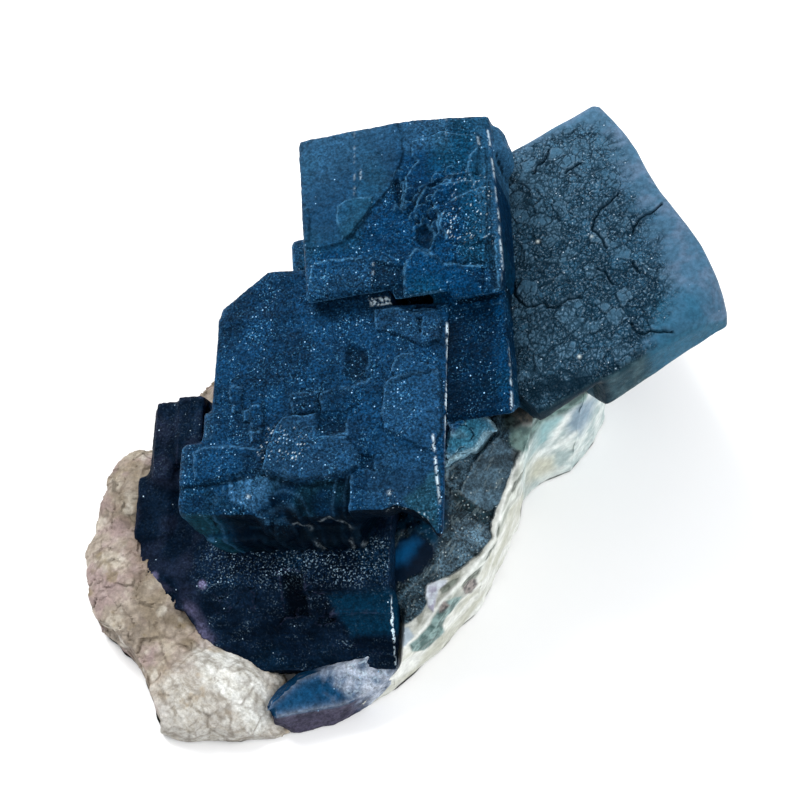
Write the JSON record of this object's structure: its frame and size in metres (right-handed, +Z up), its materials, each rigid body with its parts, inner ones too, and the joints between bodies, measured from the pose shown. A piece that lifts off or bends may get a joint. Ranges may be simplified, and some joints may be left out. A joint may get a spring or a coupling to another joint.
{
  "type": "rough crystal cluster",
  "caption": "Cluster of deep blue cubic fluorite crystals with stepped, frosted faces on pale quartz matrix; a rough mineral specimen for display that rests on its trimmed base.",
  "frame": {"origin": "a point near the middle of the flat underside of the quartz matrix", "axes": "+Z up from the flat underside, -Y towards the dark ledge and the broken cube in front, +X towards the cube that leans out to the right"},
  "size_m": [0.0716, 0.0662, 0.0398],
  "materials": {
    "blue_fluorite": "frosted, druzy, slightly see-through at thin edges",
    "slate_blue_fluorite": "frosted mosaic with dark cracks, see-through at the lower rim",
    "bright_blue_fluorite": "broken and glassy, see-through",
    "grey_green_fluorite": "cleaved and banded, see-through",
    "cream_quartz": "rough, sugary"
  },
  "bodies": {
    "root": {"cube_cluster": "blue_fluorite", "right_cube": "slate_blue_fluorite", "broken_cube": "bright_blue_fluorite", "fluorite_seam": "grey_green_fluorite", "quartz_matrix": "cream_quartz"}
  },
  "joints": []
}
